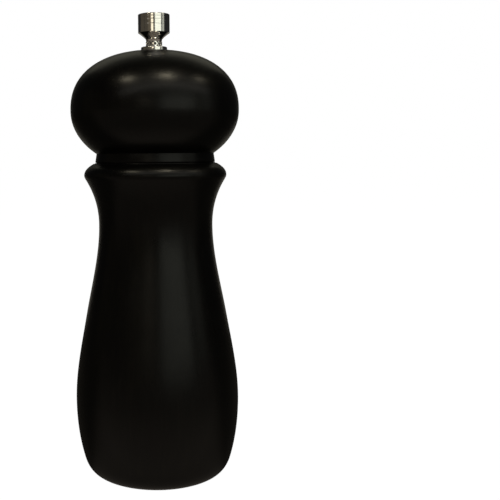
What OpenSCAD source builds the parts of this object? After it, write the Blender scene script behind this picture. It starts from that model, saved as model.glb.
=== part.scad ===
// Pepper mill with a turning head, a square drive shaft and a cone burr.
// Millimetres, +Z up. The origin is the centre of the base, on the plane the mill stands on.

/* [Body] */
// Height of the body's top face
body_h = 113.1; // [112.9:0.1:113.2]
// Radius of the flat the body stands on
foot_r = 20.05; // [19:0.05:21]
// Height where the rounded foot ends
foot_h = 6.25; // [5:0.25:8]
// Radius where the rounded foot ends
foot_top_r = 27.0; // [26.5:0.1:27.5]
// Widest radius of the belly
belly_r = 29.7; // [29:0.05:29.75]
// Height of the belly
belly_h = 27.5; // [25:0.5:30]
// Narrowest radius of the waist
waist_r = 20.4; // [19:0.05:21]
// Height of the waist
waist_h = 91.2; // [88:0.1:94]
// Radius of the lip below the bead
lip_r = 25.4; // [25:0.05:26]
// Height of the lip
lip_h = 108.7; // [108:0.1:109]
// Radius of the body's top face
body_top_r = 21.5; // [21:0.1:21.7]
// Radius of the pepper store's bore
bore_r = 12.7; // [12.6:0.05:13]

/* [Head] */
// Widest radius of the dome
dome_r = 29.8; // [29.75:0.05:30]
// Height of the dome's widest line
dome_h = 131.26; // [131:0.01:131.5]
// Rise of the dome above its widest line
dome_rise = 21.0; // [20.9:0.05:21.1]
// Roundness exponent of the dome's upper half
dome_power = 2.32; // [2:0.01:2.6]
// Drop of the dome below its widest line, if it closed at the axis
under_drop = 20.79; // [20.5:0.01:21]
// Radius of the collar where the dome meets it
collar_top_r = 20.9; // [20.5:0.05:21.2]
// Radius of the collar's lower edge
collar_r = 21.4; // [21:0.05:21.5]
// Gap between the collar and the body
head_gap = 0.05; // [0.03:0.01:0.1]
// Radius of the spigot that turns in the bore
spigot_r = 12.3; // [12:0.1:12.4]
// Length of the spigot below the collar
spigot_len = 10.4; // [9:0.1:12]

/* [Knob] */
// Overall height of the mill
mill_h = 164.7; // [164.5:0.1:165]
// Radius of the knob's grip
grip_r = 5.56; // [5:0.02:6]
// Height of the grip's lower edge
grip_h = 158.4; // [158.2:0.1:159]
// Radius of the knurled neck
neck_r = 2.86; // [2.7:0.02:3]
// Height of the neck's upper end
neck_h = 156.1; // [155.8:0.1:156.4]
// Radius of the washer under the knob
washer_r = 4.6; // [4.2:0.02:4.7]
// Thickness of the washer under the knob
washer_t = 1.3; // [1:0.1:1.5]

/* [Drive] */
// Width of the square shaft
shaft_w = 4.4; // [4.3:0.05:4.5]
// Radius of the threads at both ends of the shaft
thread_r = 2.0; // [1.9:0.05:2]
// Height of the top of the square part
square_top = 146; // [144:0.5:146.5]
// Height of the top of the shaft's thread
thread_top = 159.9; // [158:0.1:160.2]
// Travel of the shaft between the coarsest and the finest grind
grind_travel = 1.4; // [1:0.1:1.4]

/* [Burr] */
// Height of the housing's flange above the base plane
flange_z = 2.0; // [1.8:0.1:2.2]
// Radius of the housing's flange
flange_r = 16.7; // [16.5:0.1:16.8]
// Outer radius of the housing's cup
cup_r = 12.5; // [12.4:0.05:12.5]
// Height of the housing's cup
cup_top = 19; // [18:0.5:20]
// Height of the stator's narrowest line
throat_z = 9; // [8.5:0.1:9.5]
// Radius of the stator's narrowest line
throat_r = 8.1; // [8:0.1:8.2]
// Radial gap between the rotor and the stator at the coarsest grind
grind_gap = 0.9; // [0.88:0.01:1]
// Number of fine teeth on each burr
fine_teeth = 24; // [16:1:30]
// Number of coarse teeth on each burr
coarse_teeth = 6; // [5:1:8]
// Height of the bridge's underside
bridge_z = 24.1; // [23.9:0.1:24.5]
// Number of legs on the bridge
bridge_legs = 3; // [3]

/* [Hidden] */

$fn = 96;

// Overshoot of cutting shapes, so that no cut ends on a face
over = 1;
// Small working gap between parts that turn on flat faces
face_gap = 0.05;

// Body
foot_slope = 0.28;
// Point on the side between the belly and the waist
side_h = 58.4;
side_r = 25.45;
side_slope = -0.18;
// Point on the flare below the lip
under_lip_h = 106.8;
under_lip_r = 24.6;
under_lip_slope = 0.58;
top_slope = -2;
// Height, radius and slope of the outline's keys above the foot
body_keys = [[foot_h, foot_top_r, foot_slope], [belly_h, belly_r, 0],
             [side_h, side_r, side_slope], [waist_h, waist_r, 0],
             [under_lip_h, under_lip_r, under_lip_slope], [lip_h, lip_r, 0],
             [body_h, body_top_r, top_slope]];
span_steps = 9;
foot_steps = 7;
mouth_chamfer = 0.8;
recess_r = 17;
recess_h = 3;

// Head
collar_z = body_h + head_gap;
flat_r = 4.8;
curve_steps = 22;
under_power = 2.02;
spigot_z = collar_z - spigot_len;
shaft_bore_r = 3.6;
guide_r = 2.3;
screw_r = 1.15;
screw_hole_r = 1.35;
ferrule_r = 4.3;
ferrule_t = 0.7;
ferrule_len = 3.6;

// Knob
head_top = dome_h + dome_rise * pow(1 - pow(flat_r / dome_r, dome_power), 1 / dome_power);
washer_z = head_top + face_gap;
knob_z = washer_z + washer_t + face_gap;
thread_gap = 0.06;
hole_spare = 0.6;
knob_hole_r = thread_r + thread_gap;
knob_hole_top = thread_top + grind_travel + hole_spare;
edge_r = 0.3;
// How far a rounded edge stands in from its corner, half way round
edge_cut = edge_r * (1 - sqrt(0.5));

// Drive
plate_t = 1;
plate_r = 10.5;
// Gaps round the square shaft in the plate that turns it and in the thrust washer
plate_gap = 0.12;
key_gap = 0.1;
plate_hole = shaft_w + 2 * plate_gap;
washer_hole = shaft_w + 2 * key_gap;
thread_chamfer = 0.4;
plate_screw_r = 8;
foot_thread_z = 0.8;
nut_t = 2.2;
nut_r = 4.0;
rotor_washer_t = 0.8;
rotor_washer_r = 5.6;

// Burr
flange_t = 1;
cup_wall = 0.6;
stator_r = cup_r - cup_wall;
stator_top = 14;
cone_slope = 0.4;
rotor_z = 4;
rotor_top = 14.5;
rotor_tip_r = 4.4;
// Width of the fine teeth's gaps, and how far they lean sideways and along the cone
fine_w = 0.85;
fine_lean = 12;
fine_cone = 22;
// The same for the coarse teeth's gaps, with their length
coarse_w = 2;
coarse_len = 9;
coarse_lean = 24;
coarse_cone = 27;
leg_w = 5;
leg_t = 0.9;
leg_angle = 90;
rivet_z = 16.5;
rivet_r = 0.9;
// Extra thickness in the middle of a leg, where its outer face follows the cup
leg_bow = 0.3;
leg_in_r = cup_r - cup_wall - leg_t - leg_bow;
screw_ring_r = 14.75;
seat_t = 0.8;
seat_r = 5.2;
hub_r = 6.5;
bush_r = 3.9;
bush_bore_r = 3.3;
key_washer_t = 0.8;
key_washer_z = bridge_z - face_gap - key_washer_t;
spring_z = rotor_top + seat_t;
spring_top = key_washer_z;
spring_r = 4.1;
wire_r = 0.4;
spring_turns = 5;
wire_sides = 8;
turn_steps = 16;

// Radius on the cubic through two outline keys, t from 0 to 1
function key_radius(a, b, t) =
    let (h = b[0] - a[0])
    (2 * pow(t, 3) - 3 * pow(t, 2) + 1) * a[1]
    + (pow(t, 3) - 2 * pow(t, 2) + t) * h * a[2]
    + (3 * pow(t, 2) - 2 * pow(t, 3)) * b[1]
    + (pow(t, 3) - pow(t, 2)) * h * b[2];

// Outline of the rounded foot, a quadratic curve that starts flat on the base
function foot_outline() =
    let (corner_r = foot_top_r - foot_slope * foot_h)
    [for (i = [0 : foot_steps - 1])
        let (t = i / foot_steps, s = 1 - t)
        [s * s * foot_r + 2 * s * t * corner_r + t * t * foot_top_r, t * t * foot_h]];

// Outline of the body above the foot, as [radius, height] points
function body_outline() =
    concat(
        [for (k = [0 : len(body_keys) - 2])
            let (a = body_keys[k], b = body_keys[k + 1])
            for (i = [0 : span_steps - 1])
                let (t = i / span_steps)
                [key_radius(a, b, t), a[0] + t * (b[0] - a[0])]],
        [[body_top_r, body_h]]);

// Angle on a rounded quadrant where its radius has shrunk to r
function quadrant_angle(r, power) = acos(pow(r / dome_r, power / 2));

// Points of a rounded quadrant of the dome, from one angle to another
function quadrant(rise, power, from, to, steps) =
    [for (i = [0 : steps])
        let (a = from + (to - from) * i / steps)
        [dome_r * pow(cos(a), 2 / power), dome_h + rise * pow(sin(a), 2 / power)]];

// Outline of the head from the collar's lower edge to the flat under the knob
function head_outline() =
    concat(
        [[collar_r, collar_z]],
        quadrant(-under_drop, under_power, quadrant_angle(collar_top_r, under_power), 0,
                 curve_steps),
        quadrant(dome_rise, dome_power, 90 / curve_steps, quadrant_angle(flat_r, dome_power),
                 curve_steps));

// A ring or tube standing on z
module tube(outer, inner, z, h) {
    translate([0, 0, z])
        difference() {
            cylinder(r = outer, h = h);
            translate([0, 0, -over]) cylinder(r = inner, h = h + 2 * over);
        }
}

// A solid of revolution of [radius, height] points
module turned(points) {
    rotate_extrude() polygon(points);
}

// A square prism centred on the axis
module square_bar(width, z, h) {
    translate([-width / 2, -width / 2, z]) cube([width, width, h]);
}

// Places its children evenly round the axis
module around(count, first = 0) {
    for (i = [0 : count - 1]) rotate([0, 0, first + 360 * i / count]) children();
}

// A wood screw with a round pan head below z and a pointed shank above it
module wood_screw(z, head_r, head_h, shank_len) {
    tip = 2;
    tip_r = 0.2;
    slot_w = 0.7;
    crown = 0.75;
    difference() {
        translate([0, 0, z - head_h]) cylinder(r1 = head_r * crown, r2 = head_r, h = head_h);
        translate([-head_r - over, -slot_w / 2, z - head_h - over])
            cube([2 * (head_r + over), slot_w, head_h / 2 + over]);
    }
    translate([0, 0, z]) cylinder(r = screw_r, h = shank_len - tip);
    translate([0, 0, z + shank_len - tip]) cylinder(r1 = screw_r, r2 = tip_r, h = tip);
}

// One stator or rotor tooth gap: a wedge that runs along the cone and leans sideways
module tooth_gap(r, z, length, width, lean, cone) {
    translate([r, 0, z])
        rotate([lean, cone, 0])
            rotate([0, 0, 45])
                cube([width, width, length], center = true);
}

module body_shell() {
    screw_hole_len = 10.5;
    color("#0c0b0b")
        difference() {
            turned(concat([[0, 0]], foot_outline(), body_outline(), [[0, body_h]]));
            translate([0, 0, -over]) cylinder(r = bore_r, h = body_h + 2 * over);
            translate([0, 0, -over]) cylinder(r = recess_r, h = recess_h + over);
            translate([0, 0, body_h - mouth_chamfer])
                cylinder(r1 = bore_r, r2 = bore_r + 2 * mouth_chamfer, h = 2 * mouth_chamfer);
            around(bridge_legs, leg_angle + 60)
                translate([screw_ring_r, 0, recess_h - over])
                    cylinder(r = screw_r, h = screw_hole_len + over, $fn = 32);
        }
}

module burr_housing() {
    color("#b9bbbd")
        difference() {
            union() {
                tube(flange_r, cup_r - cup_wall, flange_z, flange_t);
                tube(cup_r, cup_r - cup_wall, flange_z, cup_top - flange_z);
            }
            around(bridge_legs, leg_angle + 60)
                translate([screw_ring_r, 0, flange_z - over])
                    cylinder(r = screw_hole_r, h = flange_t + 2 * over, $fn = 32);
            around(bridge_legs, leg_angle)
                translate([cup_r - cup_wall - over, 0, rivet_z])
                    rotate([0, 90, 0])
                        cylinder(r = rivet_r, h = cup_wall + 2 * over, $fn = 32);
        }
}

module stator_ring() {
    bottom = flange_z + flange_t;
    bottom_r = throat_r + cone_slope * (throat_z - bottom);
    funnel_r = 10.6;
    // Middles of the fine and the coarse tooth gaps
    fine_mid_r = throat_r + 1.2;
    fine_mid_z = 5.2;
    fine_len = 8.5;
    coarse_mid_r = throat_r + 1.5;
    coarse_mid_z = 12;
    color("#6f7275")
        difference() {
            turned([[bottom_r, bottom], [stator_r, bottom], [stator_r, stator_top],
                    [funnel_r, stator_top], [throat_r, throat_z]]);
            around(fine_teeth)
                tooth_gap(fine_mid_r, fine_mid_z, length = fine_len, width = fine_w,
                          lean = -fine_lean, cone = -fine_cone);
            around(coarse_teeth)
                tooth_gap(coarse_mid_r, coarse_mid_z, length = coarse_len, width = coarse_w,
                          lean = -coarse_lean, cone = coarse_cone);
        }
}

module bridge() {
    color("#b9bbbd")
        difference() {
            union() {
                translate([0, 0, bridge_z]) cylinder(r = hub_r, h = leg_t);
                intersection() {
                    around(bridge_legs, leg_angle)
                        translate([0, -leg_w / 2, stator_top]) {
                            translate([0, 0, bridge_z - stator_top])
                                cube([stator_r, leg_w, leg_t]);
                            translate([leg_in_r, 0, 0])
                                cube([leg_t + over, leg_w, bridge_z + leg_t - stator_top]);
                        }
                    translate([0, 0, stator_top]) cylinder(r = stator_r, h = bridge_z);
                }
            }
            translate([0, 0, bridge_z - over]) cylinder(r = bush_r, h = leg_t + 2 * over);
            around(bridge_legs, leg_angle)
                translate([stator_r - leg_t - over, 0, rivet_z])
                    rotate([0, 90, 0])
                        cylinder(r = rivet_r, h = leg_t + 2 * over, $fn = 32);
        }
}

module bridge_bushing() {
    lip_t = 0.6;
    lip_w = 1.1;
    color("#b08d4a") {
        tube(bush_r, bush_bore_r, bridge_z, leg_t);
        tube(bush_r + lip_w, bush_bore_r, bridge_z + leg_t, lip_t);
    }
}

module bridge_rivets() {
    head_t = 0.5;
    head_r = 1.6;
    crown_r = 1.1;
    color("#a7a9ab")
        around(bridge_legs, leg_angle)
            translate([leg_in_r, 0, rivet_z])
                rotate([0, 90, 0]) {
                    translate([0, 0, -head_t]) cylinder(r1 = crown_r, r2 = head_r, h = head_t, $fn = 32);
                    cylinder(r = rivet_r, h = cup_r - leg_in_r, $fn = 32);
                }
}

module mounting_screws() {
    color("#c6b06a")
        around(bridge_legs, leg_angle + 60)
            translate([screw_ring_r, 0, 0])
                wood_screw(flange_z, head_r = 1.8, head_h = 1.2, shank_len = 11, $fn = 32);
}

module thrust_washer() {
    color("#c9cacb")
        difference() {
            translate([0, 0, key_washer_z]) cylinder(r = seat_r, h = key_washer_t);
            square_bar(washer_hole, key_washer_z - over, key_washer_t + 2 * over);
        }
}

module drive_shaft() {
    color("#bfc2c4") {
        translate([0, 0, foot_thread_z]) cylinder(r = thread_r, h = rotor_z - foot_thread_z);
        square_bar(shaft_w, rotor_z, square_top - rotor_z);
        translate([0, 0, square_top])
            cylinder(r = thread_r, h = thread_top - square_top - thread_chamfer);
        translate([0, 0, thread_top - thread_chamfer])
            cylinder(r1 = thread_r, r2 = thread_r - thread_chamfer, h = thread_chamfer);
    }
}

module rotor_burr() {
    rotor_waist_r = throat_r - grind_gap;
    rotor_r = rotor_waist_r + cone_slope * (throat_z - rotor_z);
    // Middles of the fine and the coarse tooth gaps
    fine_mid_r = rotor_waist_r + 1.4;
    fine_mid_z = 5.4;
    fine_len = 6.6;
    coarse_mid_r = 5.9;
    coarse_mid_z = 12.6;
    color("#5d6063")
        difference() {
            turned([[0, rotor_z], [rotor_r, rotor_z], [rotor_waist_r, throat_z],
                    [rotor_tip_r, rotor_top], [0, rotor_top]]);
            square_bar(shaft_w, rotor_z - over, rotor_top - rotor_z + 2 * over);
            around(fine_teeth)
                tooth_gap(fine_mid_r, fine_mid_z, length = fine_len, width = fine_w,
                          lean = fine_lean, cone = -fine_cone);
            around(coarse_teeth)
                tooth_gap(coarse_mid_r, coarse_mid_z, length = coarse_len, width = coarse_w,
                          lean = coarse_lean, cone = -coarse_cone);
        }
}

module spring_seat() {
    rim_h = 0.7;
    rim_t = 0.4;
    color("#c9cacb") {
        difference() {
            translate([0, 0, rotor_top]) cylinder(r = seat_r, h = seat_t);
            square_bar(shaft_w, rotor_top - over, seat_t + 2 * over);
        }
        tube(seat_r, seat_r - rim_t, rotor_top + seat_t, rim_h);
    }
}

// Height of the spring's wire axis after a number of turns: flat end turns, open middle
function wire_height(turn) =
    let (low = spring_z + wire_r, high = spring_top - wire_r, flat = 0.85,
         part = (turn - flat) / (spring_turns - 2 * flat),
         end_rise = 0.06)
    turn < flat ? low + end_rise * turn
    : turn > spring_turns - flat ? high - end_rise * (spring_turns - turn)
    : low + end_rise * flat + (high - low - 2 * end_rise * flat) * part;

module burr_spring() {
    steps = spring_turns * turn_steps;
    points = [for (i = [0 : steps])
        let (turn = i / turn_steps, a = 360 * turn)
        for (j = [0 : wire_sides - 1])
            let (b = 360 * j / wire_sides, r = spring_r + wire_r * cos(b))
            [r * cos(a), r * sin(a), wire_height(turn) + wire_r * sin(b)]];
    sides = [for (i = [0 : steps - 1]) for (j = [0 : wire_sides - 1])
        let (k = (j + 1) % wire_sides, p = i * wire_sides, q = p + wire_sides)
        [p + j, p + k, q + k, q + j]];
    first = [for (j = [0 : wire_sides - 1]) wire_sides - 1 - j];
    last = [for (j = [0 : wire_sides - 1]) steps * wire_sides + j];
    color("#d6d7d8") polyhedron(points, concat(sides, [first, last]));
}

module rotor_washer() {
    color("#c9cacb")
        tube(rotor_washer_r, thread_r, rotor_z - rotor_washer_t, rotor_washer_t);
}

module rotor_nut() {
    color("#bfc2c4")
        translate([0, 0, rotor_z - rotor_washer_t - nut_t])
            difference() {
                cylinder(r = nut_r, h = nut_t, $fn = 6);
                translate([0, 0, -over]) cylinder(r = thread_r, h = nut_t + 2 * over);
            }
}

module head_shell() {
    pilot_len = 8.5;
    color("#0c0b0b")
        difference() {
            turned(concat([[0, spigot_z], [spigot_r, spigot_z], [spigot_r, collar_z]],
                          head_outline(), [[0, head_top]]));
            translate([0, 0, spigot_z - over])
                cylinder(r = shaft_bore_r, h = head_top - spigot_z + 2 * over);
            translate([0, 0, head_top - ferrule_t])
                cylinder(r = ferrule_r, h = ferrule_t + over);
            around(2)
                translate([plate_screw_r, 0, spigot_z - over])
                    cylinder(r = screw_r, h = pilot_len + over, $fn = 32);
        }
}

module drive_plate() {
    color("#b9bbbd")
        difference() {
            translate([0, 0, spigot_z - plate_t]) cylinder(r = plate_r, h = plate_t);
            square_bar(plate_hole, spigot_z - plate_t - over, plate_t + 2 * over);
            around(2)
                translate([plate_screw_r, 0, spigot_z - plate_t - over])
                    cylinder(r = screw_hole_r, h = plate_t + 2 * over, $fn = 32);
        }
}

module drive_plate_screws() {
    color("#c6b06a")
        around(2)
            translate([plate_screw_r, 0, 0])
                wood_screw(spigot_z - plate_t, head_r = 2, head_h = 1.3, shank_len = 9.5, $fn = 32);
}

module head_ferrule() {
    color("#b08d4a") {
        tube(ferrule_r, guide_r, head_top - ferrule_t, ferrule_t);
        tube(shaft_bore_r, guide_r, head_top - ferrule_len, ferrule_len - ferrule_t);
    }
}

module knob_washer() {
    color("#cfd1d2")
        difference() {
            turned([[0, washer_z], [washer_r, washer_z], [washer_r, washer_z + washer_t - edge_r],
                    [washer_r - edge_cut, washer_z + washer_t - edge_cut],
                    [washer_r - edge_r, washer_z + washer_t], [0, washer_z + washer_t]]);
            translate([0, 0, washer_z - over]) cylinder(r = guide_r, h = washer_t + 2 * over);
        }
}

module adjusting_knob() {
    flare_steps = 6;
    flare_power = 1.25;
    flare_h = grip_h - neck_h;
    flare = [for (i = [0 : flare_steps])
        let (t = i / flare_steps)
        [neck_r + (grip_r - neck_r) * pow(t, flare_power), neck_h + flare_h * t]];
    crown = [for (a = [0 : 15 : 90])
        [grip_r - edge_r + edge_r * cos(a), mill_h - edge_r + edge_r * sin(a)]];
    color("#cfd1d2")
        difference() {
            turned(concat([[0, knob_z], [neck_r, knob_z]], flare, crown, [[0, mill_h]]));
            translate([0, 0, knob_z - over])
                cylinder(r = knob_hole_r, h = knob_hole_top - knob_z + over);
        }
}

body_shell();
burr_housing();
stator_ring();
bridge();
bridge_bushing();
bridge_rivets();
mounting_screws();
thrust_washer();
drive_shaft();
rotor_burr();
spring_seat();
burr_spring();
rotor_washer();
rotor_nut();
head_shell();
drive_plate();
drive_plate_screws();
head_ferrule();
knob_washer();
adjusting_knob();
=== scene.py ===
import math

import bmesh
import bpy
from mathutils import Matrix, Vector


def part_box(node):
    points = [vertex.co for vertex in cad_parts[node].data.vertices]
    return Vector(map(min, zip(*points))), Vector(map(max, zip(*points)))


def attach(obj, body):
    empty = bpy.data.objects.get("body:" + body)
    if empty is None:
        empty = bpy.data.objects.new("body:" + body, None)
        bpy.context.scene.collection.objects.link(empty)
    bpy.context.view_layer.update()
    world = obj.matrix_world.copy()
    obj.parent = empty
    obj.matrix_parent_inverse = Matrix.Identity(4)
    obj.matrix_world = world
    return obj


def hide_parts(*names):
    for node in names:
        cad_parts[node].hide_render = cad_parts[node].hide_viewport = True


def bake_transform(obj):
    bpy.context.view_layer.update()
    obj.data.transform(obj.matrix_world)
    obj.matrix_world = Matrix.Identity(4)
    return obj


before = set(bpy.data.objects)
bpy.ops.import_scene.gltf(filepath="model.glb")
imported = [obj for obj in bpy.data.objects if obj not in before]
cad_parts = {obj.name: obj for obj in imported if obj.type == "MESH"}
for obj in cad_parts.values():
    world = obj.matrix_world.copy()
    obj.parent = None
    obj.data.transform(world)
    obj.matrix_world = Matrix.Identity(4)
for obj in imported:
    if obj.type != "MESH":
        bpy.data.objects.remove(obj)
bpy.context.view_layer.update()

MM = 0.001

# ---------------------------------------------------------------------------
# The mill's driving sizes, in millimetres, as the CAD frame has them
# ---------------------------------------------------------------------------


def low(node):
    """Lowest height of a CAD node, in millimetres."""
    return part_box(node)[0].z / MM


def high(node):
    """Highest height of a CAD node, in millimetres."""
    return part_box(node)[1].z / MM


def reach(node):
    """How far a CAD node reaches from the axis along X, in millimetres."""
    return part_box(node)[1].x / MM


BODY_TOP = high("body_shell")
BODY_TOP_R = 21.5
FOOT_R = 20.05
# Height, radius and slope of the body's outline where it turns
FOOT_TOP = (6.25, 27.0, 0.28)
BELLY = (27.5, 29.7, 0)
SIDE = (58.4, 25.45, -0.18)
WAIST = (91.2, 20.4, 0)
UNDER_LIP = (106.8, 24.6, 0.58)
LIP = (108.7, 25.4, 0)
BODY_KEYS = [FOOT_TOP, BELLY, SIDE, WAIST, UNDER_LIP, LIP, (BODY_TOP, BODY_TOP_R, -2.0)]
BORE_R = 12.7
RECESS_R = 17.0
RECESS_TOP = 3.0
MOUTH_CHAMFER = 0.8

# The dome's widest ring, its rise above it and its drop below, and how full each curve is
DOME_R = reach("head_shell")
DOME_Z = 131.26
DOME_RISE = 21.0
DOME_POWER = 2.32
UNDER_DROP = 20.79
UNDER_POWER = 2.02
COLLAR_TOP_R = 20.9
COLLAR_R = 21.4
COLLAR_Z = BODY_TOP + 0.05
HEAD_TOP = high("head_shell")
HEAD_FLAT_R = 4.8
SPIGOT_R = 12.3
SPIGOT_Z = low("head_shell")
SHAFT_BORE_R = 3.6
FERRULE_FLANGE = 0.7

SHAFT_W = 2 * reach("drive_shaft")
SQUARE_TOP = 146.0
THREAD_R = 2.0
THREAD_PITCH = 0.7
THREAD_STEP = 0.09
THREAD_CLEAR_R = 2.3
WASHER_FILLET = 0.12

KNOB_Z = low("adjusting_knob")
MILL_TOP = high("adjusting_knob")
GRIP_R = reach("adjusting_knob")
GRIP_Z = 158.4
NECK_R = 2.86
NECK_TOP = 156.1
KNURL_LOW = KNOB_Z + 0.2
KNURL_HIGH = NECK_TOP - 0.75
KNURL_DEPTH = 0.30
KNURL_COUNT = 11
TAPPED_R = THREAD_R + 0.06
TAPPED_TOP = MILL_TOP - 2.8

# Fine and coarse teeth meet at the throat. A slant is in tooth widths for each mm of height.
THROAT_Z = 9.0
THROAT_R = 8.1
GRIND_GAP = 0.9
CONE_SLOPE = 0.4
FINE_TEETH = 24
FINE_DEPTH = 0.5
FINE_SLANT = 0.22
COARSE_TEETH = 6
COARSE_SLANT = 0.11

# ---------------------------------------------------------------------------
# Mesh building
# ---------------------------------------------------------------------------


def hermite_radius(a, b, t):
    """Radius on the cubic between two outline keys of (height, radius, slope)."""
    h = b[0] - a[0]
    return ((2 * t**3 - 3 * t**2 + 1) * a[1] + (t**3 - 2 * t**2 + t) * h * a[2]
            + (3 * t**2 - 2 * t**3) * b[1] + (t**3 - t**2) * h * b[2])


def rounded(corners, steps=4):
    """An outline of (radius, height, fillet) corners, with each fillet drawn as a curve that
    takes less than half of the edge on either side."""
    most = 0.48
    outline = []
    for i, (r, z, fillet) in enumerate(corners):
        here = Vector((r, z))
        if fillet <= 0:
            outline.append((r, z))
            continue
        before = Vector(corners[i - 1][:2]) - here
        after = Vector(corners[(i + 1) % len(corners)][:2]) - here
        cut = fillet / math.tan(before.angle(after) / 2)
        cut = min(cut, most * before.length, most * after.length)
        start = here + before.normalized() * cut
        end = here + after.normalized() * cut
        for k in range(steps + 1):
            t = k / steps
            p = start * (1 - t) ** 2 + here * (2 * t * (1 - t)) + end * t**2
            outline.append((p.x, p.y))
    return outline


def lathe(outline, segments=96, shape=None, loop=True):
    """Vertices and faces of an outline of (radius, height) points turned round the axis.
    shape(angle, radius, height) may change the radius. A loop outline closes on itself, and
    an open one is closed by a disc at each end."""
    verts, faces = [], []
    for r, z in outline:
        for k in range(segments):
            a = 2 * math.pi * k / segments
            rr = shape(a, r, z) if shape else r
            verts.append((rr * math.cos(a) * MM, rr * math.sin(a) * MM, z * MM))
    rings = len(outline)
    for i in range(rings if loop else rings - 1):
        j = (i + 1) % rings
        for k in range(segments):
            n = (k + 1) % segments
            faces.append((i * segments + k, i * segments + n, j * segments + n,
                          j * segments + k))
    if not loop:
        faces.append(tuple(reversed(range(segments))))
        faces.append(tuple(range((rings - 1) * segments, rings * segments)))
    return verts, faces


def outward(mesh):
    """Turns every face of a closed mesh outwards."""
    bm = bmesh.new()
    bm.from_mesh(mesh)
    bmesh.ops.recalc_face_normals(bm, faces=bm.faces)
    if bm.calc_volume(signed=True) < 0:
        bmesh.ops.reverse_faces(bm, faces=bm.faces)
    bm.to_mesh(mesh)
    bm.free()


def make_piece(name, verts, faces, body, materials, nodes, sharp=35, paint=None):
    """A mesh object that replaces CAD nodes and rides on a body, or on none. paint(centre) gives
    a face's material index from its centre in millimetres."""
    mesh = bpy.data.meshes.new(name)
    mesh.from_pydata(verts, [], faces)
    outward(mesh)
    obj = bpy.data.objects.new(name, mesh)
    bpy.context.collection.objects.link(obj)
    finish_piece(obj, body, materials, nodes, sharp, paint)
    return obj


def finish_piece(obj, body, materials, nodes, sharp=35, paint=None):
    """Shades a piece, gives it its materials, ties it to its body and hides the CAD nodes it
    stands for.
    """
    mesh = obj.data
    for material in materials:
        mesh.materials.append(material)
    for face in mesh.polygons:
        face.use_smooth = True
        if paint:
            face.material_index = paint(face.center / MM)
    mesh.set_sharp_from_angle(angle=math.radians(sharp))
    if body:
        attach(obj, body)
    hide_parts(*nodes)


def make_turned(name, node, corners, body, material, segments=160, shape=None, steps=4):
    """A ring turned from (radius, height, fillet) corners, which replaces one CAD node."""
    verts, faces = lathe(rounded(corners, steps), segments, shape)
    make_piece(name, verts, faces, body, [material], [node])


def make_bevelled(name, node, body, material, width):
    """A copy of a CAD node's mesh with its edges broken, which replaces the node."""
    merge, flat_angle, edge_angle = 0.001, 2, 40
    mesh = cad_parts[node].data.copy()
    mesh.name = name
    mesh.materials.clear()
    bm = bmesh.new()
    bm.from_mesh(mesh)
    bmesh.ops.remove_doubles(bm, verts=bm.verts, dist=merge * MM)
    bmesh.ops.dissolve_limit(bm, angle_limit=math.radians(flat_angle), verts=bm.verts,
                             edges=bm.edges)
    edges = [e for e in bm.edges
             if len(e.link_faces) == 2 and e.calc_face_angle(0) > math.radians(edge_angle)]
    bmesh.ops.bevel(bm, geom=edges, offset=width * MM, segments=2, profile=0.5,
                    affect="EDGES", clamp_overlap=True)
    bm.to_mesh(mesh)
    bm.free()
    obj = bpy.data.objects.new(name, mesh)
    bpy.context.collection.objects.link(obj)
    finish_piece(obj, body, [material], [node], sharp=50)


def square_radius(angle, width, power=16):
    """Radius of a square bar with slightly rounded corners, in a direction from its axis."""
    c, s = abs(math.cos(angle)), abs(math.sin(angle))
    return width / 2 / (c**power + s**power) ** (1 / power)


def square_hole(width, edge):
    """A lathe shape for a ring that is square as far out as its hole's edge, then round."""
    def shape(angle, r, z):
        if r > width / 2 + edge:
            return r
        return square_radius(angle, width) + (r - width / 2)

    return shape


def triangle_wave(phase):
    """0 at whole phases, 1 half way between them."""
    part = phase % 1.0
    return 1 - abs(2 * part - 1)


def ramp(x, start, end):
    """0 below start, 1 above end, smooth between."""
    t = min(max((x - start) / (end - start), 0), 1)
    return t * t * (3 - 2 * t)


def spaced(start, end, step):
    """Heights from start to end in even steps of about the size given."""
    count = max(1, round(abs(end - start) / step))
    return [start + (end - start) * i / count for i in range(count + 1)]


# ---------------------------------------------------------------------------
# Materials
# ---------------------------------------------------------------------------


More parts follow.
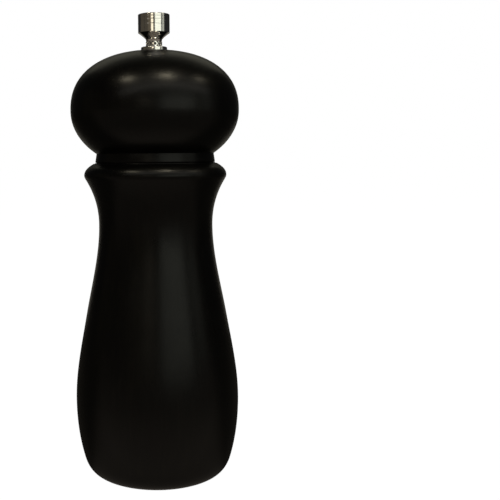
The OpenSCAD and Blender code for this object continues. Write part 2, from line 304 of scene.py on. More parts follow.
class Shader:
    """Short ways to add nodes to one material."""

    def __init__(self, name, color, roughness, metallic=0.0, specular=0.5):
        self.material = bpy.data.materials.new(name)
        self.material.use_nodes = True
        self.tree = self.material.node_tree
        self.base = self.tree.nodes["Principled BSDF"]
        self.base.inputs["Base Color"].default_value = (*color, 1)
        self.base.inputs["Roughness"].default_value = roughness
        self.base.inputs["Metallic"].default_value = metallic
        self.base.inputs["Specular IOR Level"].default_value = specular
        self.place = self.add("ShaderNodeTexCoord").outputs["Object"]

    def add(self, kind, **values):
        node = self.tree.nodes.new(kind)
        for key, value in values.items():
            setattr(node, key, value)
        return node

    def link(self, a, b):
        self.tree.links.new(a, b)

    def scaled(self, scale):
        """The object's coordinates stretched by a factor on each axis."""
        node = self.add("ShaderNodeMapping")
        node.inputs["Scale"].default_value = scale
        self.link(self.place, node.inputs["Vector"])
        return node.outputs["Vector"]

    def noise(self, scale, detail=4, rough=0.55, warp=0.0):
        """Noise of about scale features a metre on each axis."""
        node = self.add("ShaderNodeTexNoise")
        node.inputs["Scale"].default_value = 1
        node.inputs["Detail"].default_value = detail
        node.inputs["Roughness"].default_value = rough
        node.inputs["Distortion"].default_value = warp
        self.link(self.scaled(scale), node.inputs["Vector"])
        return node.outputs["Fac"]

    def curve(self, value, stops):
        """A ramp of (position, colour or grey) stops."""
        node = self.add("ShaderNodeValToRGB")
        ramp_stops = node.color_ramp.elements
        while len(ramp_stops) < len(stops):
            ramp_stops.new(0.5)
        for element, (position, shade) in zip(ramp_stops, stops):
            element.position = position
            rgb = (shade,) * 3 if isinstance(shade, (int, float)) else shade
            element.color = (*rgb, 1)
        self.link(value, node.inputs["Fac"])
        return node.outputs["Color"]

    def bump(self, height, depth, below=None):
        """Bump of a depth in millimetres, on top of an earlier bump."""
        node = self.add("ShaderNodeBump")
        node.inputs["Distance"].default_value = depth * MM
        self.link(height, node.inputs["Height"])
        if below:
            self.link(below, node.inputs["Normal"])
        return node.outputs["Normal"]

    def color(self, value):
        self.link(value, self.base.inputs["Base Color"])

    def roughness(self, value):
        self.link(value, self.base.inputs["Roughness"])

    def normal(self, value):
        self.link(value, self.base.inputs["Normal"])


def lacquer_material():
    """Satin black lacquer over turned hardwood: faint grain, pores and tool rings."""
    s = Shader("satin_black_lacquer", (0.002, 0.0019, 0.0016), 0.30, specular=0.19)
    grain = s.noise((900, 900, 45), detail=6, rough=0.6, warp=0.4)
    s.color(s.curve(grain, [(0.3, (0.0009, 0.0009, 0.0008)), (0.55, (0.0015, 0.0014, 0.0012)),
                            (0.8, (0.0036, 0.0031, 0.0025))]))
    cloud = s.noise((60, 60, 30), detail=3)
    s.roughness(s.curve(cloud, [(0.3, 0.26), (0.7, 0.33)]))
    pores = s.curve(s.noise((2600, 2600, 160), detail=2), [(0.27, 0.0), (0.36, 1.0)])
    rings = s.noise((40, 40, 1500), detail=3)
    peel = s.noise((420, 420, 420), detail=2)
    normal = s.bump(pores, 0.012)
    normal = s.bump(rings, 0.006, below=normal)
    s.normal(s.bump(peel, 0.020, below=normal))
    return s.material


def bare_wood_material():
    """Pale close-grained hardwood, unfinished, with growth rings and long grain."""
    s = Shader("bare_hardwood", (0.62, 0.42, 0.24), 0.62, specular=0.35)
    rings = s.add("ShaderNodeTexWave", wave_type="BANDS", bands_direction="X")
    rings.inputs["Scale"].default_value = 1
    rings.inputs["Distortion"].default_value = 3.5
    rings.inputs["Detail"].default_value = 3
    rings.inputs["Detail Scale"].default_value = 1.2
    s.link(s.scaled((190, 70, 9)), rings.inputs["Vector"])
    fibre = s.noise((1500, 1500, 60), detail=5, rough=0.6)
    tone = s.curve(rings.outputs["Color"], [(0.0, (0.57, 0.375, 0.21)), (0.6, (0.66, 0.45, 0.26)),
                                            (1.0, (0.70, 0.49, 0.295))])
    dark = s.curve(fibre, [(0.32, 0.72), (0.5, 1.0)])
    blend = s.add("ShaderNodeMix", data_type="RGBA", blend_type="MULTIPLY")
    blend.inputs["Factor"].default_value = 0.6
    s.link(tone, blend.inputs[6])
    s.link(dark, blend.inputs[7])
    s.color(blend.outputs[2])
    s.normal(s.bump(fibre, 0.02))
    return s.material


def turned_steel_material():
    """Polished turned steel: fine rings round the axis and soft clouding."""
    s = Shader("polished_turned_steel", (0.75, 0.74, 0.715), 0.12, metallic=1.0)
    s.base.inputs["Anisotropic"].default_value = 0.45
    tangent = s.add("ShaderNodeTangent", direction_type="RADIAL", axis="Z")
    s.link(tangent.outputs["Tangent"], s.base.inputs["Tangent"])
    rings = s.noise((30, 30, 9000), detail=4, rough=0.7)
    cloud = s.noise((350, 350, 350), detail=4)
    s.color(s.curve(cloud, [(0.3, (0.71, 0.695, 0.67)), (0.7, (0.80, 0.79, 0.765))]))
    s.roughness(s.curve(rings, [(0.25, 0.08), (0.75, 0.16)]))
    s.normal(s.bump(rings, 0.002))
    return s.material


def metal_material(name, color, roughness, depth=0.01, grain=(900, 900, 900), shift=0.12,
                   clouds=(160, 160, 160)):
    """A worked metal: clouded colour, uneven polish and a fine surface texture."""
    s = Shader(name, color, roughness, metallic=1.0)
    cloud = s.noise(clouds, detail=5)
    texture = s.noise(grain, detail=4, rough=0.65)
    darker = tuple(c * (1 - shift) for c in color)
    lighter = tuple(min(1, c * (1 + shift)) for c in color)
    s.color(s.curve(cloud, [(0.3, darker), (0.7, lighter)]))
    s.roughness(s.curve(texture, [(0.25, max(0.05, roughness - 0.07)), (0.75, roughness + 0.09)]))
    s.normal(s.bump(texture, depth))
    return s.material


LACQUER = lacquer_material()
BARE_WOOD = bare_wood_material()
TURNED_STEEL = turned_steel_material()
ZINC_SHEET = metal_material("zinc_plated_sheet", (0.60, 0.61, 0.62), 0.30, shift=0.10)
BURR_STEEL = metal_material("hardened_burr_steel", (0.27, 0.275, 0.28), 0.42, depth=0.03,
                            shift=0.2)
DRAWN_STEEL = metal_material("drawn_steel_rod", (0.62, 0.62, 0.615), 0.24,
                             grain=(3500, 3500, 90), depth=0.006)
SPRING_WIRE = metal_material("bright_spring_wire", (0.66, 0.66, 0.67), 0.18, depth=0.004)
# Painted shade: a near-black steel for the knurl's valleys, much darker than the knob's steel,
# standing in for the shade down in the cuts
KNURL_PAINTED_SHADE = metal_material("knurl_valley_painted_shade", (0.10, 0.095, 0.085), 0.5, depth=0.01,
                              grain=(2500, 2500, 2500), shift=0.3, clouds=(1500, 1500, 1500))
BRASS = metal_material("turned_brass", (0.72, 0.52, 0.24), 0.26, grain=(40, 40, 6000),
                       depth=0.004)
YELLOW_ZINC = metal_material("yellow_zinc_screws", (0.66, 0.55, 0.28), 0.32, shift=0.18,
                             clouds=(500, 500, 500))
WASHER_STEEL = metal_material("stamped_washer_steel", (0.58, 0.58, 0.585), 0.28,
                              grain=(1800, 300, 300), depth=0.006)

# ---------------------------------------------------------------------------
# Pieces
# ---------------------------------------------------------------------------


def body_outline():
    """The turned outside of the body, from the flat of the foot to the top face."""
    foot_steps, span_steps = 14, 18
    foot_h, foot_top_r, slope = FOOT_TOP
    corner_r = foot_top_r - slope * foot_h
    outline = []
    for i in range(foot_steps):
        t = i / foot_steps
        outline.append(((1 - t) ** 2 * FOOT_R + 2 * t * (1 - t) * corner_r + t**2 * foot_top_r,
                        t**2 * foot_h))
    for a, b in zip(BODY_KEYS[:-1], BODY_KEYS[1:]):
        for i in range(span_steps):
            t = i / span_steps
            outline.append((hermite_radius(a, b, t), a[0] + t * (b[0] - a[0])))
    return outline


def make_body():
    """The turned body, with its bore, its chamfered mouth and the recess in its base."""
    mouth_r = BORE_R + MOUTH_CHAMFER
    inside = rounded([(BODY_TOP_R, BODY_TOP, 0.25), (mouth_r, BODY_TOP, 0.15),
                      (BORE_R, BODY_TOP - MOUTH_CHAMFER, 0.2), (BORE_R, RECESS_TOP, 0.2),
                      (RECESS_R, RECESS_TOP, 0.1), (RECESS_R, 0, 0.35), (FOOT_R, 0, 0)])
    verts, faces = lathe(body_outline() + inside[:-1], segments=256)
    bare_bore_r, bare_recess_r, bare_recess_top = BORE_R + 0.5, RECESS_R + 0.4, RECESS_TOP + 0.2

    def bare(centre):
        radius = math.hypot(centre.x, centre.y)
        bored = radius < bare_bore_r and centre.z > RECESS_TOP
        recessed = radius < bare_recess_r and centre.z < bare_recess_top
        return 1 if bored or recessed else 0

    make_piece("turned_body", verts, faces, "mill_body",
               [LACQUER, BARE_WOOD], ["body_shell"], paint=bare)


def quadrant(rise, power, start, end, steps):
    """Points of a rounded quadrant of the dome between two angles in radians."""
    points = []
    for i in range(steps + 1):
        a = start + (end - start) * i / steps
        points.append((DOME_R * abs(math.cos(a)) ** (2 / power),
                       DOME_Z + rise * abs(math.sin(a)) ** (2 / power)))
    return points


def quadrant_angle(radius, power):
    """Angle on a rounded quadrant where its radius has shrunk to the one given."""
    return math.acos((radius / DOME_R) ** (power / 2))


def make_head():
    """The turned head: collar, dome, spigot and the shaft's bore."""
    steps = 48
    under = quadrant(-UNDER_DROP, UNDER_POWER, quadrant_angle(COLLAR_TOP_R, UNDER_POWER), 0,
                     steps)
    dome = quadrant(DOME_RISE, DOME_POWER, 0, quadrant_angle(HEAD_FLAT_R, DOME_POWER), steps)
    ferrule_r, ferrule_top = reach("head_ferrule"), high("head_ferrule")
    ferrule_seat = ferrule_top - FERRULE_FLANGE
    inside = rounded([(HEAD_FLAT_R, HEAD_TOP, 0), (ferrule_r, ferrule_top, 0.08),
                      (ferrule_r, ferrule_seat, 0), (SHAFT_BORE_R, ferrule_seat, 0),
                      (SHAFT_BORE_R, SPIGOT_Z, 0.3), (SPIGOT_R, SPIGOT_Z, 0.5),
                      (SPIGOT_R, COLLAR_Z, 0.2), (COLLAR_R, COLLAR_Z, 0.4),
                      (COLLAR_TOP_R, under[0][1], 0)])
    verts, faces = lathe(dome[1:-1] + inside[:-1] + under, segments=256)
    bare_bore_r, bare_spigot_r = SHAFT_BORE_R + 0.2, SPIGOT_R + 0.3
    bare_spigot_top = COLLAR_Z + 0.05

    def bare(centre):
        radius = math.hypot(centre.x, centre.y)
        on_spigot = radius < bare_spigot_r and centre.z < bare_spigot_top
        return 1 if on_spigot or radius < bare_bore_r else 0

    make_piece("turned_head", verts, faces, "head", [LACQUER, BARE_WOOD],
               ["head_shell"], paint=bare)


def knob_outline():
    """The knob's section, from the roof of its hole down and out, then up round the outside."""
    axis_r, fine_step = 0.02, 0.04
    flare_power, flare_steps = 1.25, 14
    edge = 0.22
    line_depth, line_w = 0.014, 0.13
    lines = [MILL_TOP - drop for drop in (0.95, 2.0, 3.6)]
    roof = [(axis_r, TAPPED_TOP), (1.4, TAPPED_TOP - 0.4)]
    hole = [(TAPPED_R, z) for z in spaced(TAPPED_TOP - 0.8, KNOB_Z + 0.3, THREAD_STEP)]
    mouth = [(TAPPED_R + 0.2, KNOB_Z + 0.05), (TAPPED_R + 0.25, KNOB_Z)]
    neck = [(NECK_R - 0.1, KNOB_Z)]
    neck += [(NECK_R, z) for z in spaced(KNOB_Z + 0.08, NECK_TOP, fine_step)]
    flare = [(NECK_R + (GRIP_R - NECK_R) * (i / flare_steps) ** flare_power,
              NECK_TOP + (GRIP_Z - NECK_TOP) * i / flare_steps)
             for i in range(1, flare_steps + 1)]
    grip = []
    for z in spaced(GRIP_Z + 0.06, MILL_TOP - edge, fine_step):
        dip = max([0] + [1 - abs(z - line) / line_w for line in lines])
        grip.append((GRIP_R - line_depth * dip, z))
    crown = [(GRIP_R - edge + edge * math.cos(math.radians(a)),
              MILL_TOP - edge + edge * math.sin(math.radians(a))) for a in range(10, 91, 10)]
    top = [(r, MILL_TOP) for r in (4.2, 3.2, 2.0, 0.8, axis_r)]
    return roof + hole + mouth + neck + flare + grip + crown + top


def knob_surface(angle, r, z):
    """Cuts the knurl's diamonds and the groove above them in the neck, and the hole's thread."""
    touch = 0.001
    run_out, valley_end, crest_start, groove, thread_depth = 0.1, 0.42, 0.70, 0.14, 0.22
    turn = angle / (2 * math.pi)
    if abs(r - TAPPED_R) < touch:
        return r + thread_depth * triangle_wave(z / THREAD_PITCH - turn)
    if abs(r - NECK_R) >= touch or z <= KNURL_LOW:
        return r
    if z >= KNURL_HIGH:
        return r - groove * (NECK_TOP - z) / (NECK_TOP - KNURL_HIGH)
    diamond_h = 2 * math.pi * NECK_R / KNURL_COUNT
    across, rise = turn * KNURL_COUNT, (z - KNURL_LOW) / diamond_h
    crest = max(triangle_wave(across + rise), triangle_wave(across - rise))
    fade = ramp(z, KNURL_LOW, KNURL_LOW + run_out)
    fade *= 1 - ramp(z, KNURL_HIGH - run_out, KNURL_HIGH)
    return r - KNURL_DEPTH * (1 - ramp(crest, valley_end, crest_start)) * fade


def make_knob():
    """The adjusting knob: knurled neck, flared cone, grip with turned lines, tapped hole."""
    wall_r, painted_shade_r = TAPPED_R + 0.3, NECK_R - 0.6 * KNURL_DEPTH

    # Faces down in the knurl's valleys get the near-black steel, which is painted shade
    def painted_shade_in_valley(centre):
        radius = math.hypot(centre.x, centre.y)
        in_knurl = KNURL_LOW < centre.z < KNURL_HIGH
        return 1 if in_knurl and wall_r < radius < painted_shade_r else 0

    verts, faces = lathe(knob_outline(), segments=360, shape=knob_surface, loop=False)
    make_piece("adjusting_knob_turned", verts, faces, "knob",
               [TURNED_STEEL, KNURL_PAINTED_SHADE], ["adjusting_knob"], sharp=28, paint=painted_shade_in_valley)


def make_knob_washer():
    """The round washer between the head and the knob."""
    outer, bottom, top = reach("knob_washer"), low("knob_washer"), high("knob_washer")
    make_turned("knob_washer_turned", "knob_washer",
                [(THREAD_CLEAR_R, bottom, 0.1), (outer, bottom, 0.12), (outer, top, 0.32),
                 (THREAD_CLEAR_R, top, 0.15)],
                "knob_seat", TURNED_STEEL, steps=6)


def make_stamped_washer(name, node, inner, body, shape=None):
    """A flat washer with all its edges rounded a little."""
    outer, bottom, top, fillet = reach(node), low(node), high(node), WASHER_FILLET
    make_turned(name, node,
                [(inner, bottom, fillet), (outer, bottom, fillet), (outer, top, fillet),
                 (inner, top, fillet)],
                body, WASHER_STEEL, shape=shape)


def make_stamped_washers():
    """The washer under the rotor, and the one with a square hole that the spring pushes on."""
    keyed_w = SHAFT_W + 0.2
    make_stamped_washer("rotor_washer_stamped", "rotor_washer", THREAD_R, "shaft")
    make_stamped_washer("thrust_washer_stamped", "thrust_washer", SHAFT_W / 2 + 0.1, "drive",
                        shape=square_hole(keyed_w, WASHER_FILLET))


def make_ferrule():
    """The flanged brass guide in the top of the head."""
    bottom, top, flange_r = low("head_ferrule"), high("head_ferrule"), reach("head_ferrule")
    flange_low = top - FERRULE_FLANGE
    make_turned("head_ferrule_turned", "head_ferrule",
                [(THREAD_CLEAR_R, bottom, 0.1), (SHAFT_BORE_R, bottom, 0.15),
                 (SHAFT_BORE_R, flange_low, 0), (flange_r, flange_low, 0),
                 (flange_r, top, 0.08), (THREAD_CLEAR_R, top, 0.25)],
                "head", BRASS, segments=128)


def make_bushing():
    """The flanged brass bush in the bridge's hub."""
    hole_r, hub_r, flange_t = 3.3, 3.9, 0.6
    bottom, top, flange_r = low("bridge_bushing"), high("bridge_bushing"), reach("bridge_bushing")
    flange_low = top - flange_t
    make_turned("bridge_bushing_turned", "bridge_bushing",
                [(hole_r, bottom, 0.12), (hub_r, bottom, 0.1), (hub_r, flange_low, 0),
                 (flange_r, flange_low, 0.08), (flange_r, top, 0.15), (hole_r, top, 0.2)],
                "mill_body", BRASS, segments=128)


def make_spring_seat():
    """The cupped washer on the rotor that holds the foot of the spring."""
    rim_t, sheet, cup_h, hole_r = 0.4, 0.8, 1.5, SHAFT_W / 2
    bottom, outer = low("spring_seat"), reach("spring_seat")
    floor, rim_top, rim_r = bottom + sheet, bottom + cup_h, outer - rim_t
    make_turned("spring_seat_cup", "spring_seat",
                [(hole_r, bottom, 0.08), (outer, bottom, 0.35), (outer, rim_top, 0.15),
                 (rim_r, rim_top, 0.15), (rim_r, floor, 0.2), (hole_r, floor, 0.08)],
                "shaft", WASHER_STEEL, shape=square_hole(SHAFT_W, 0.1))


def make_shaft():
    """The drive shaft: threaded foot, square rod, threaded top that screws into the knob."""
    bottom, top = low("drive_shaft"), high("drive_shaft")
    rotor_bottom = low("rotor_burr")
    rod_heights = [20, 60, 100]
    thread_depth, end_corner_r = 0.3, THREAD_R + 0.55
    foot = spaced(bottom + 0.3, rotor_bottom - 0.2, THREAD_STEP)
    rod = [rotor_bottom, rotor_bottom + 0.25] + rod_heights + [SQUARE_TOP - 0.6, SQUARE_TOP]
    thread = spaced(SQUARE_TOP + 0.4, top - 0.45, THREAD_STEP)
    outline = [(0.9, bottom)] + [(THREAD_R, z) for z in foot + rod + thread]
    outline += [(1.55, top - 0.05), (1.2, top)]

    def surface(angle, r, z):
        if r < THREAD_R:
            return r
        if z in (rotor_bottom, SQUARE_TOP):
            return min(square_radius(angle, SHAFT_W), end_corner_r)
        if rotor_bottom < z < SQUARE_TOP:
            return square_radius(angle, SHAFT_W)
        phase = z / THREAD_PITCH - angle / (2 * math.pi)
        return r - thread_depth * (1 - triangle_wave(phase))

    verts, faces = lathe(outline, segments=96, shape=surface, loop=False)
    make_piece("drive_shaft_square", verts, faces, "shaft", [DRAWN_STEEL],
               ["drive_shaft"], sharp=30)


def saw(phase):
    """A tooth that falls slowly and rises quickly, from 0 to 1."""
    part = phase % 1.0
    steep = 0.28
    return part / steep if part < steep else (1 - part) / (1 - steep)


def burr_wall(bottom, top, throat_r, top_r):
    """A burr's working face, which opens downwards from the throat and runs straight to its
    radius at the top."""
    wall = []
    for z in spaced(bottom, top, 0.16):
        if z <= THROAT_Z:
            wall.append((throat_r + CONE_SLOPE * (THROAT_Z - z), z))
        else:
            wall.append((throat_r + (top_r - throat_r) * (z - THROAT_Z) / (top - THROAT_Z), z))
    return wall


def burr_teeth(angle, climb, fine_depth, coarse_depth):
    """How deep the teeth cut at an angle, a climb in millimetres up their slant. Where fine
    and coarse teeth meet, the deeper one counts."""
    turn = angle / (2 * math.pi)
    return max(fine_depth * saw(FINE_TEETH * turn + FINE_SLANT * climb),
               coarse_depth * saw(COARSE_TEETH * turn + COARSE_SLANT * climb))


def make_rotor():
    """The toothed cone: fine slanted teeth round its foot and coarse spiral ones above."""
    bottom, top = low("rotor_burr"), high("rotor_burr")
    tip_r, core_r, coarse_depth = 4.4, 3.3, 1.25
    foot_ring, tip_ring = (3.6, bottom), (3.35, top)

    def surface(angle, r, z):
        if r < core_r:
            return square_radius(angle, SHAFT_W)
        fine = 1 - ramp(z, THROAT_Z - 0.6, THROAT_Z + 0.4)
        coarse = ramp(z, THROAT_Z - 0.8, THROAT_Z + 1.5)
        cut = burr_teeth(angle, z - bottom, FINE_DEPTH * fine, coarse_depth * coarse)
        return max(r - cut, core_r)

    cone = burr_wall(bottom, top, THROAT_R - GRIND_GAP, tip_r)
    outline = [(SHAFT_W / 2, bottom), foot_ring] + cone + [tip_ring, (SHAFT_W / 2, top)]
    verts, faces = lathe(outline, segments=480, shape=surface)
    make_piece("rotor_burr_cut", verts, faces, "shaft", [BURR_STEEL],
               ["rotor_burr"], sharp=25)


def make_stator():
    """The toothed ring: fine slanted teeth in its mouth and coarse spiral ones above."""
    ring_r, bottom, top = reach("stator_ring"), low("stator_ring"), high("stator_ring")
    funnel_r, toothed_r, coarse_depth = 10.6, ring_r - 0.7, 1.1

    def surface(angle, r, z):
        if r > toothed_r:
            return r
        fine = 1 - ramp(z, THROAT_Z - 0.6, THROAT_Z + 0.4)
        coarse = ramp(z, THROAT_Z - 0.8, THROAT_Z + 1.2) * (1 - ramp(z, top - 2.5, top + 0.5))
        return r + burr_teeth(angle, bottom - z, FINE_DEPTH * fine, coarse_depth * coarse)

    wall = burr_wall(bottom, top, THROAT_R, funnel_r)
    rim = [(ring_r - 0.35, top), (ring_r, top - 0.3), (ring_r, bottom + 0.2),
           (ring_r - 0.2, bottom)]
    verts, faces = lathe(wall + rim, segments=480, shape=surface)
    make_piece("stator_ring_cut", verts, faces, "mill_body", [BURR_STEEL],
               ["stator_ring"], sharp=25)


def make_housing():
    """The drawn steel cup with its flange, bent in one sweep from the sheet."""
    cup_r, sheet, flange_t, flange_r = 12.5, 0.6, 1.0, reach("burr_housing")
    bottom, top = low("burr_housing"), high("burr_housing")
    inner_r, flange_top = cup_r - sheet, bottom + flange_t
    make_turned("burr_housing_drawn", "burr_housing",
                [(inner_r, bottom, 1.0), (flange_r, bottom, 0.3), (flange_r, flange_top, 0.25),
                 (cup_r, flange_top, 0.5), (cup_r, top, 0.25), (inner_r, top, 0.25)],
                "mill_body", ZINC_SHEET, segments=192, steps=6)


def make_nut():
    """The rotor's hexagon nut, with its corners turned to a cone on both faces."""
    bottom, top, corner_r = low("rotor_nut"), high("rotor_nut"), reach("rotor_nut")
    sixth = math.pi / 3
    flat_r = corner_r * math.cos(sixth / 2)
    chamfer, hole_chamfer, mouth_r = 0.35, 0.2, THREAD_R + 0.3
    outline = [(THREAD_R, bottom + hole_chamfer), (mouth_r, bottom), (flat_r - 0.1, bottom),
               (corner_r, bottom + chamfer), (corner_r, top - chamfer), (flat_r - 0.1, top),
               (mouth_r, top), (THREAD_R, top - hole_chamfer)]

    def hexagon(angle, r, z):
        if r < flat_r:
            return r
        part = (angle + sixth / 2) % sixth - sixth / 2
        return min(flat_r / math.cos(sixth / 2 - abs(part)), corner_r - 0.05)

    verts, faces = lathe(outline, segments=120, shape=hexagon)
    make_piece("rotor_nut_hexagon", verts, faces, "shaft", [WASHER_STEEL],
               ["rotor_nut"], sharp=20)


def make_spring():
    """The burr spring: an open coil with a flat ground turn at each end."""
    turns, sides, per_turn, wire = 5, 14, 48, 0.4
    coil_r = reach("burr_spring") - wire
    bottom, top = low("burr_spring"), high("burr_spring")
    flat, end_rise, ground = 0.85, 0.06, 0.02

    def wire_height(turn):
        start, end = bottom + wire, top - wire
        if turn < flat:
            return start + end_rise * turn
        if turn > turns - flat:
            return end - end_rise * (turns - turn)
        open_rise = end - start - 2 * end_rise * flat
        return start + end_rise * flat + open_rise * (turn - flat) / (turns - 2 * flat)

    verts, faces = [], []
    steps = turns * per_turn
    for i in range(steps + 1):
        turn = i / per_turn
        a = 2 * math.pi * turn
        for k in range(sides):
            b = 2 * math.pi * k / sides
            r = coil_r + wire * math.cos(b)
            z = wire_height(turn) + wire * math.sin(b)
            z = min(max(z, bottom + ground), top - ground)
            verts.append((r * math.cos(a) * MM, r * math.sin(a) * MM, z * MM))
    for i in range(steps):
        for k in range(sides):
            n = (k + 1) % sides
            faces.append((i * sides + k, i * sides + n, (i + 1) * sides + n,
                          (i + 1) * sides + k))
    faces.append(tuple(reversed(range(sides))))
    faces.append(tuple(range(steps * sides, (steps + 1) * sides)))
    spring = make_piece("burr_spring_coil", verts, faces, None, [SPRING_WIRE],
                        ["burr_spring"])
    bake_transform(spring)


def make_pressed_parts():
    """Sheet parts and fasteners: the CAD shapes with their edges broken."""
    make_bevelled("bridge_pressed", "bridge", "mill_body", ZINC_SHEET, 0.15)
    make_bevelled("bridge_rivets_upset", "bridge_rivets", "mill_body",
                  WASHER_STEEL, 0.12)
    make_bevelled("drive_plate_pressed", "drive_plate", "head", ZINC_SHEET,
                  0.12)
    make_bevelled("mounting_screws_slotted", "mounting_screws", "mill_body",
                  YELLOW_ZINC, 0.08)
    make_bevelled("drive_plate_screws_slotted", "drive_plate_screws", "head",
                  YELLOW_ZINC, 0.08)


# ---------------------------------------------------------------------------
# Studio
# ---------------------------------------------------------------------------

# Metres, degrees below level, degrees of roll, millimetres, and part of the frame's width
CAMERA_PLACE = (0, -0.298, 0.11558)
CAMERA_DIP = 6.504
CAMERA_ROLL = -0.55
CAMERA_LENS = 59.61
CAMERA_SHIFT = 0.188
LIGHT_AIM = (0, 0, 0.1)


def make_camera():
    """The camera, just above the joint between head and body, looking a little down."""
    data = bpy.data.cameras.new("studio_camera")
    data.lens = CAMERA_LENS
    data.sensor_width = 36
    data.shift_x = CAMERA_SHIFT
    data.clip_start = 0.01
    data.clip_end = 50
    camera = bpy.data.objects.new("studio_camera", data)
    camera.location = CAMERA_PLACE
    aim = Matrix.Rotation(math.radians(90 - CAMERA_DIP), 4, "X")
    roll = Matrix.Rotation(math.radians(CAMERA_ROLL), 4, "Z")
    camera.rotation_euler = (aim @ roll).to_euler()
    bpy.context.collection.objects.link(camera)
    bpy.context.scene.camera = camera


def direction(azimuth, elevation):
    """Unit vector from the mill: azimuth 0 points at the camera's side, 90 to the right."""
    a, e = math.radians(azimuth), math.radians(elevation)
    return Vector((math.sin(a) * math.cos(e), -math.cos(a) * math.cos(e), math.sin(e)))


def add_light(name, azimuth, elevation, distance, width, height, radiance, color,
              shape="RECTANGLE"):
    """A soft light that faces the mill. Width and height are the angles it fills, in degrees,
    and radiance is how bright its face looks in a reflection."""
    data = bpy.data.lights.new(name, "AREA")
    data.shape = shape
    data.size = 2 * distance * math.tan(math.radians(width / 2))
    data.size_y = 2 * distance * math.tan(math.radians(height / 2))
    area = data.size * data.size_y * (math.pi / 4 if shape == "ELLIPSE" else 1)
    data.energy = radiance * area * math.pi
    data.color = color
    light = bpy.data.objects.new(name, data)
    toward = direction(azimuth, elevation)
    light.location = Vector(LIGHT_AIM) + toward * distance
    light.rotation_mode = "QUATERNION"
    light.rotation_quaternion = toward.to_track_quat("Z", "Y")
    light.visible_camera = False
    bpy.context.collection.objects.link(light)


def make_lights():
    """Three small lamps overhead, a soft box at the right front, a wide glow high in front,
    and panels at the left front, at the left and behind."""
    warm, cream, olive = (1.0, 0.90, 0.66), (1.0, 0.96, 0.86), (1.0, 0.97, 0.76)
    brown, tan, sand = (1.0, 0.82, 0.52), (1.0, 0.89, 0.68), (1.0, 0.94, 0.78)
    pearl = (0.98, 1.0, 0.86)
    add_light("lamp_left", -50.5, 54, 1.1, 9, 9, 21.0, warm, "ELLIPSE")
    add_light("lamp_centre", 28, 64, 1.1, 11, 10, 23.5, warm, "ELLIPSE")
    add_light("lamp_right", 83, 46, 1.1, 10, 9, 6.0, warm, "ELLIPSE")
    add_light("soft_box", 31, 8.5, 1.0, 46, 15, 1.28, pearl)
    add_light("soft_box_top", 31, 24.0, 1.0, 46, 16, 0.50, pearl)
    add_light("soft_box_edge", 71, 10, 1.0, 16, 20, 0.50, pearl)
    add_light("glow_high", 16, 43, 1.0, 112, 12, 1.5, cream)
    add_light("glow_ceiling", 16, 61, 1.0, 96, 14, 0.55, cream)
    add_light("wall_slit", -12, 12, 1.0, 15, 5, 1.6, tan)
    add_light("wall_near", -14, 10, 1.0, 20, 30, 0.12, tan)
    add_light("wall_middle", -34, 10, 1.0, 20, 30, 0.10, brown)
    add_light("wall_far", -58, 10, 1.0, 26, 30, 0.05, brown)
    add_light("wall_side", -92, 10, 1.0, 36, 30, 0.05, brown)
    add_light("back_panel", 180, 14, 1.2, 56, 40, 0.07, olive)
    add_light("back_sill", 180, -8, 0.35, 64, 16, 0.20, sand)
    add_light("back_ceiling", 180, 40, 1.2, 56, 20, 0.32, olive)
    add_light("back_ceiling_high", 180, 58, 1.2, 70, 16, 0.09, olive)


def map_range(tree, value, start, end, low_result, high_result):
    """Turns a value's run from start to end into one between two results. The low result may
    be another node's output."""
    node = tree.nodes.new("ShaderNodeMapRange")
    node.inputs["From Min"].default_value = start
    node.inputs["From Max"].default_value = end
    node.inputs["To Max"].default_value = high_result
    if isinstance(low_result, float):
        node.inputs["To Min"].default_value = low_result
    else:
        tree.links.new(low_result, node.inputs["To Min"])
    tree.links.new(value, node.inputs["Value"])
    return node.outputs["Result"]


def make_world():
    """Surroundings that are white to the camera and almost dark to light and reflections."""
    dim = 0.02
    world = bpy.data.worlds.new("studio_world")
    bpy.context.scene.world = world
    world.use_nodes = True
    tree = world.node_tree
    background = tree.nodes["Background"]
    background.inputs["Color"].default_value = (1, 1, 1, 1)
    seen = tree.nodes.new("ShaderNodeLightPath").outputs["Is Camera Ray"]
    tree.links.new(map_range(tree, seen, 0, 1, dim, 1.0), background.inputs["Strength"])


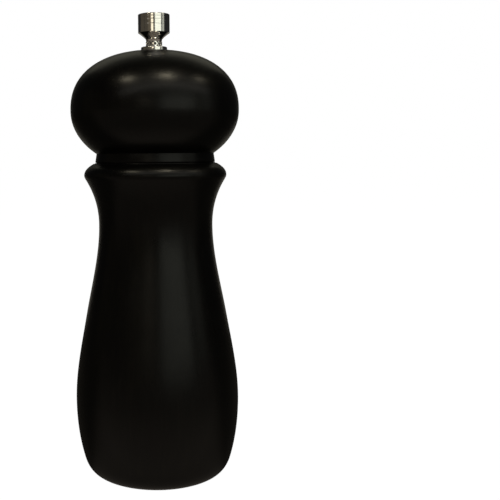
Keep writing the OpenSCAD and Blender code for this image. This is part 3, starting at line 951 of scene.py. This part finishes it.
def floor_material():
    """White to the camera. To reflections it is a warm glow in front of the mill, which fades
    with distance and is almost dark behind. Places and distances are in metres."""
    near_end, far_end, front_y, back_y = 0.05, 0.16, -0.035, -0.005
    near_glow, far_glow, back_glow = 0.33, 0.16, 0.015
    material = bpy.data.materials.new("pale_floor")
    material.use_nodes = True
    tree = material.node_tree
    base = tree.nodes["Principled BSDF"]
    base.inputs["Base Color"].default_value = (0.04, 0.04, 0.04, 1)
    base.inputs["Roughness"].default_value = 0.9
    base.inputs["Specular IOR Level"].default_value = 0.0
    seen = tree.nodes.new("ShaderNodeLightPath").outputs["Is Camera Ray"]
    tint = tree.nodes.new("ShaderNodeMix")
    tint.data_type = "RGBA"
    tint.inputs["A"].default_value = (1.0, 0.86, 0.72, 1)
    tint.inputs["B"].default_value = (1, 1, 1, 1)
    tree.links.new(seen, tint.inputs["Factor"])
    tree.links.new(tint.outputs["Result"], base.inputs["Emission Color"])
    place = tree.nodes.new("ShaderNodeTexCoord").outputs["Object"]
    distance = tree.nodes.new("ShaderNodeVectorMath")
    distance.operation = "LENGTH"
    axes = tree.nodes.new("ShaderNodeSeparateXYZ")
    tree.links.new(place, distance.inputs[0])
    tree.links.new(place, axes.inputs["Vector"])
    front = map_range(tree, distance.outputs["Value"], near_end, far_end, near_glow, far_glow)
    glow = map_range(tree, axes.outputs["Y"], front_y, back_y, front, back_glow)
    tree.links.new(map_range(tree, seen, 0, 1, glow, 1.0), base.inputs["Emission Strength"])
    return material


def make_floor():
    """A plain floor just under the mill's foot."""
    half, drop = 6.0, 0.05
    mesh = bpy.data.meshes.new("studio_floor")
    mesh.from_pydata([(-half, -half, 0), (half, -half, 0), (half, half, 0), (-half, half, 0)],
                     [], [(0, 1, 2, 3)])
    mesh.materials.append(floor_material())
    floor = bpy.data.objects.new("studio_floor", mesh)
    floor.location.z = -drop * MM
    bpy.context.collection.objects.link(floor)


def make_studio():
    """Camera, surroundings, lights and floor."""
    make_camera()
    make_world()
    make_lights()
    make_floor()
    bpy.context.scene.view_settings.view_transform = "Standard"


make_studio()
make_body()
make_head()
make_knob()
make_knob_washer()
make_stamped_washers()
make_ferrule()
make_bushing()
make_spring_seat()
make_shaft()
make_rotor()
make_stator()
make_housing()
make_nut()
make_spring()
make_pressed_parts()
